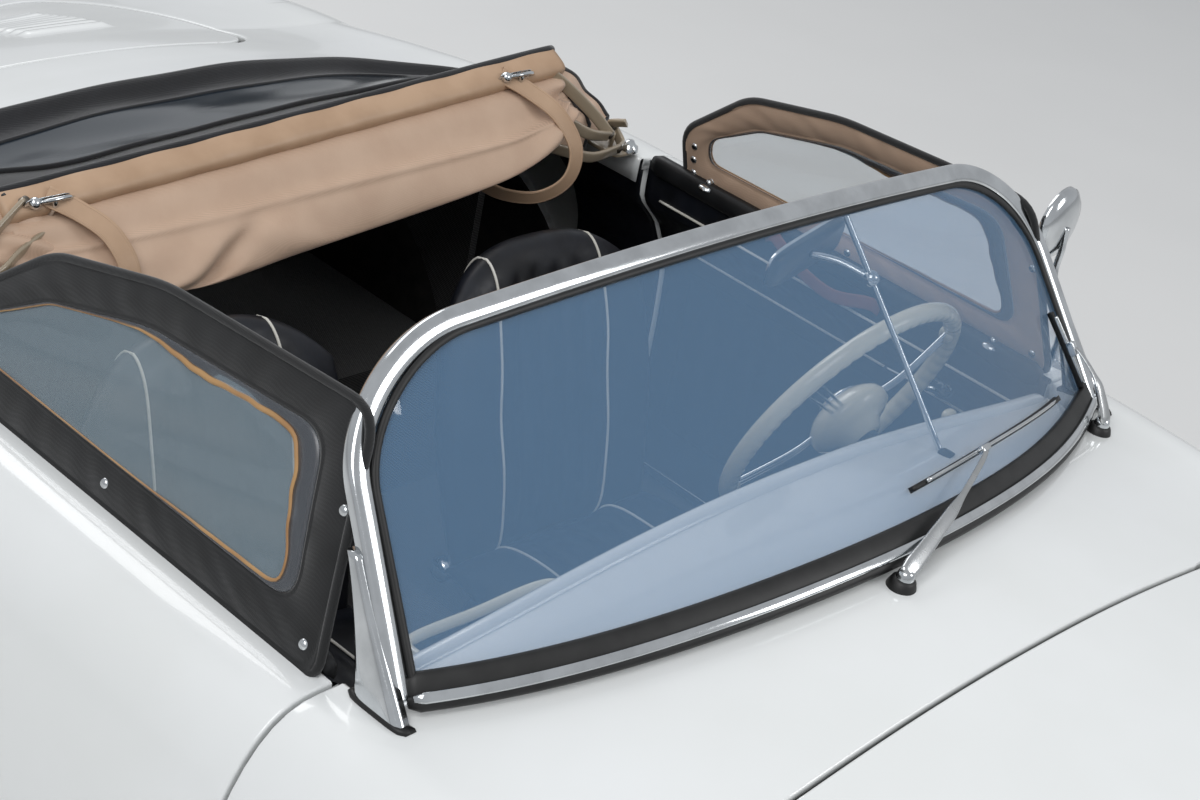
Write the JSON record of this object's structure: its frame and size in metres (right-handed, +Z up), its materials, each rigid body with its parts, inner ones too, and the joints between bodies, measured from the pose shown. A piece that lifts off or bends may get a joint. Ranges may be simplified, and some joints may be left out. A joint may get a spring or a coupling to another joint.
{
  "type": "roadster convertible",
  "caption": "Open two-seat rear-engined roadster with a curved windscreen, folding hood stowed behind bucket seats, clip-in side curtains, opening doors and lids.",
  "frame": {"origin": "on the ground under the middle of the overall length, on the centre plane", "axes": "+X forward, +Y to the driver's left, +Z up"},
  "size_m": [3.95, 1.6646, 1.1799],
  "materials": {
    "paint": "gloss",
    "paint_grey": "satin",
    "chrome": "polished",
    "glass": "polished",
    "window_plastic": "gloss",
    "leather": "satin",
    "hood_cloth": "matt",
    "curtain_cloth": "matt",
    "iron_paint": "satin",
    "tyre": "matt",
    "ivory": "gloss",
    "steel": "satin",
    "engine_metal": "matt",
    "lamp": "gloss",
    "headlamp_glass": "polished"
  },
  "bodies": {
    "body": {"bulkhead": "paint_grey", "bumper_front": "paint", "bumper_rear": "paint", "dashboard": "paint", "engine": "engine_metal", "exhaust": "steel", "floor_pan": "paint_grey", "front_axle": "steel", "front_wing_left": "paint", "front_wing_right": "paint", "gear_lever": "steel", "headlamps": "headlamp_glass", "hood_fabric": "hood_cloth", "hood_frame": "iron_paint", "inside_mirror": "chrome", "luggage_tub": "paint_grey", "pedals": "steel", "rear_axle": "steel", "rear_deck": "paint", "rear_shelf": "paint_grey", "rear_wing_left": "paint", "rear_wing_right": "paint", "scuttle_panel": "paint", "seat_left": "leather", "seat_right": "leather", "side_lamps": "headlamp_glass", "steering_column": "ivory", "tail_lamps": "lamp", "windscreen_frame": "chrome", "windscreen_glass": "glass", "wipers": "chrome"},
    "door_left": {"curtain_left": "curtain_cloth", "curtain_window_left": "window_plastic", "door_left": "paint", "door_mirror": "chrome"},
    "door_right": {"curtain_right": "curtain_cloth", "curtain_window_right": "window_plastic", "door_right": "paint"},
    "engine_lid": {"engine_lid": "paint"},
    "front_lid": {"front_lid": "paint"},
    "knuckle_left": {"knuckle_left": "steel"},
    "knuckle_right": {"knuckle_right": "steel"},
    "wheel_front_left": {"rim_front_left": "chrome", "tyre_front_left": "tyre"},
    "wheel_front_right": {"rim_front_right": "chrome", "tyre_front_right": "tyre"},
    "wheel_rear_left": {"rim_rear_left": "chrome", "tyre_rear_left": "tyre"},
    "wheel_rear_right": {"rim_rear_right": "chrome", "tyre_rear_right": "tyre"},
    "steering_wheel": {"steering_wheel": "ivory"}
  },
  "joints": [
    {"name": "steer_left", "type": "hinge", "parent": "body", "child": "knuckle_left", "pos_m": [1.145, 0.55, 0.32], "axis": [0, 0, 1], "range_deg": [-28, 28]},
    {"name": "steer_right", "type": "hinge", "parent": "body", "child": "knuckle_right", "pos_m": [1.145, -0.55, 0.32], "axis": [0, 0, 1], "range_deg": [-28, 28]},
    {"name": "steering_wheel_turn", "type": "hinge", "parent": "body", "child": "steering_wheel", "pos_m": [0.262, 0.355, 0.812], "axis": [-0.9272, 0, 0.3746], "range_deg": [-406, 406]},
    {"name": "wheel_front_left_spin", "type": "hinge", "parent": "knuckle_left", "child": "wheel_front_left", "pos_m": [1.145, 0.645, 0.32], "axis": [0, 1, 0], "continuous": true},
    {"name": "wheel_front_right_spin", "type": "hinge", "parent": "knuckle_right", "child": "wheel_front_right", "pos_m": [1.145, -0.645, 0.32], "axis": [0, 1, 0], "continuous": true},
    {"name": "wheel_rear_left_spin", "type": "hinge", "parent": "body", "child": "wheel_rear_left", "pos_m": [-0.955, 0.625, 0.32], "axis": [0, 1, 0], "continuous": true},
    {"name": "wheel_rear_right_spin", "type": "hinge", "parent": "body", "child": "wheel_rear_right", "pos_m": [-0.955, -0.625, 0.32], "axis": [0, 1, 0], "continuous": true},
    {"name": "door_left_hinge", "type": "hinge", "parent": "body", "child": "door_left", "pos_m": [0.405, 0.812, 0.5], "axis": [0, 0, -1], "range_deg": [0, 62]},
    {"name": "door_right_hinge", "type": "hinge", "parent": "body", "child": "door_right", "pos_m": [0.405, -0.812, 0.5], "axis": [0, 0, 1], "range_deg": [0, 62]},
    {"name": "front_lid_hinge", "type": "hinge", "parent": "body", "child": "front_lid", "pos_m": [0.787, 0, 0.8845], "axis": [0, -1, 0], "range_deg": [0, 52]},
    {"name": "engine_lid_hinge", "type": "hinge", "parent": "body", "child": "engine_lid", "pos_m": [-1.037, 0, 0.8565], "axis": [0, 1, 0], "range_deg": [0, 50]}
  ],
  "couplings": [
    {"joint": "steer_right", "follows": "steer_left", "ratio": 1},
    {"joint": "steering_wheel_turn", "follows": "steer_left", "ratio": 14}
  ]
}
